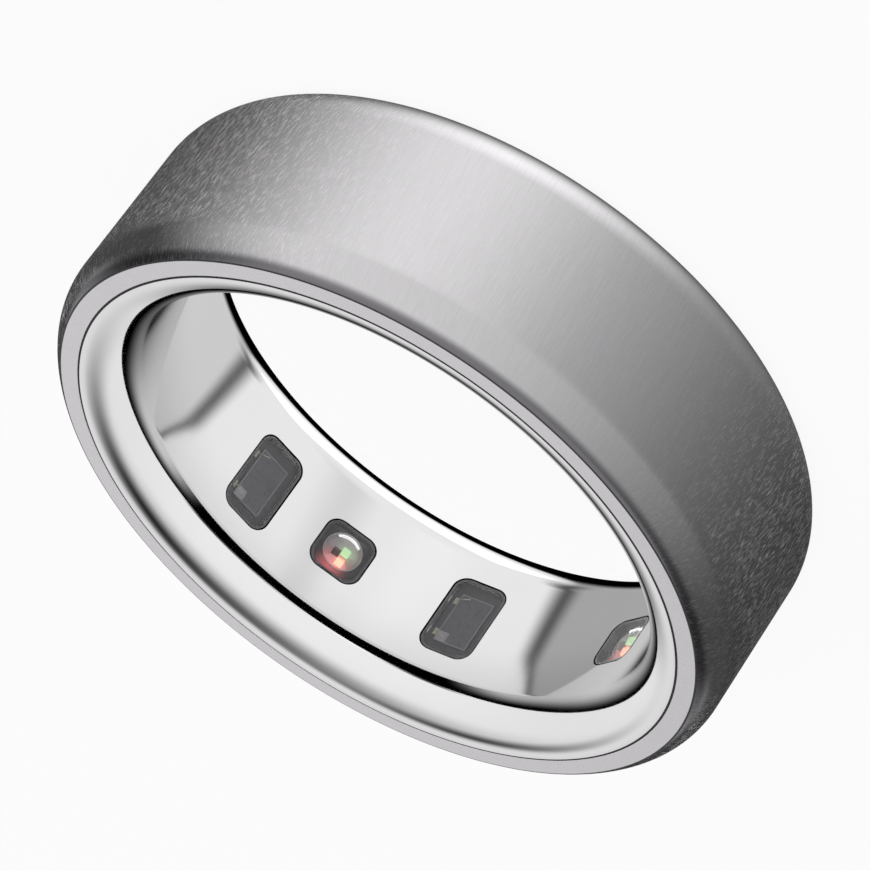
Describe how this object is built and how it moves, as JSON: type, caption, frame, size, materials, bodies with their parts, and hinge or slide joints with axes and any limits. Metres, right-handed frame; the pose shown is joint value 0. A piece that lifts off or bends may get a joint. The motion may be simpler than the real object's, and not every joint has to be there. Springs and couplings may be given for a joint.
{
  "type": "smart ring",
  "caption": "Brushed metal smart ring with a polished bore, resin windows over light sensors and clear domed emitters, and a curved battery and circuit sealed inside.",
  "frame": {"origin": "centre of the rear rim's plane, on the bore's axis", "axes": "+Z along the finger bore, from the rear rim on which the ring lies to the front rim; +Y towards the middle of the row of sensor windows"},
  "size_m": [0.0258, 0.0258, 0.0079],
  "materials": {
    "brushed_titanium": "fine lines along the finger, satin",
    "polished_titanium": "mirror polished",
    "seal_black": "matt",
    "potting_resin": "cast",
    "insulating_film": "amber film",
    "circuit_green": "solder mask",
    "board_blue": "solder mask",
    "chip_black": "moulded",
    "capacitor_tan": "fired",
    "can_silver": "plated",
    "inductor_grey": "moulded",
    "battery_pouch": "foil pouch",
    "glue_pad": "double-sided pad",
    "nickel": "rolled strip",
    "copper": "enamelled",
    "gold": "plated",
    "ferrite": "sheet",
    "carrier_white": "moulded",
    "window_resin": "clear smoked resin",
    "lens_clear": "clear resin",
    "frame_black": "matt",
    "base_dark": "solder mask",
    "silicon": "coated silicon",
    "die_green": "lit green",
    "die_red": "lit red",
    "die_infrared": "dark brown"
  },
  "bodies": {
    "root": {"outer_shell": "brushed_titanium", "inner_liner": "polished_titanium", "front_seam_seal": "seal_black", "rear_seam_seal": "seal_black", "front_potting_ring": "potting_resin", "rear_potting_ring": "potting_resin", "shell_film": "insulating_film", "main_flex": "circuit_green", "temperature_sensors": "chip_black", "optical_front_end": "chip_black", "radio_processor": "chip_black", "power_chip": "chip_black", "memory_chip": "chip_black", "motion_sensor": "chip_black", "timing_crystals": "can_silver", "power_inductor": "inductor_grey", "capacitors": "capacitor_tan", "resistors": "chip_black", "protection_board": "board_blue", "protection_chip": "chip_black", "battery_cell": "battery_pouch", "battery_glue_pad": "glue_pad", "battery_tabs": "nickel", "charging_coil": "copper", "ferrite_sheet": "ferrite", "antenna_carrier": "carrier_white", "antenna_strip": "copper", "receiver_window_1": "window_resin", "receiver_frame_1": "frame_black", "receiver_base_1": "base_dark", "receiver_die_1": "silicon", "receiver_pads_1": "gold", "bond_wires_1": "gold", "receiver_window_2": "window_resin", "receiver_frame_2": "frame_black", "receiver_base_2": "base_dark", "receiver_die_2": "silicon", "receiver_pads_2": "gold", "bond_wires_2": "gold", "receiver_window_3": "window_resin", "receiver_frame_3": "frame_black", "receiver_base_3": "base_dark", "receiver_die_3": "silicon", "receiver_pads_3": "gold", "bond_wires_3": "gold", "emitter_lens_1": "lens_clear", "emitter_frame_1": "frame_black", "emitter_base_1": "base_dark", "green_die_1": "die_green", "red_die_1": "die_red", "infrared_die_1": "die_infrared", "emitter_lens_2": "lens_clear", "emitter_frame_2": "frame_black", "emitter_base_2": "base_dark", "green_die_2": "die_green", "red_die_2": "die_red", "infrared_die_2": "die_infrared"}
  },
  "joints": []
}
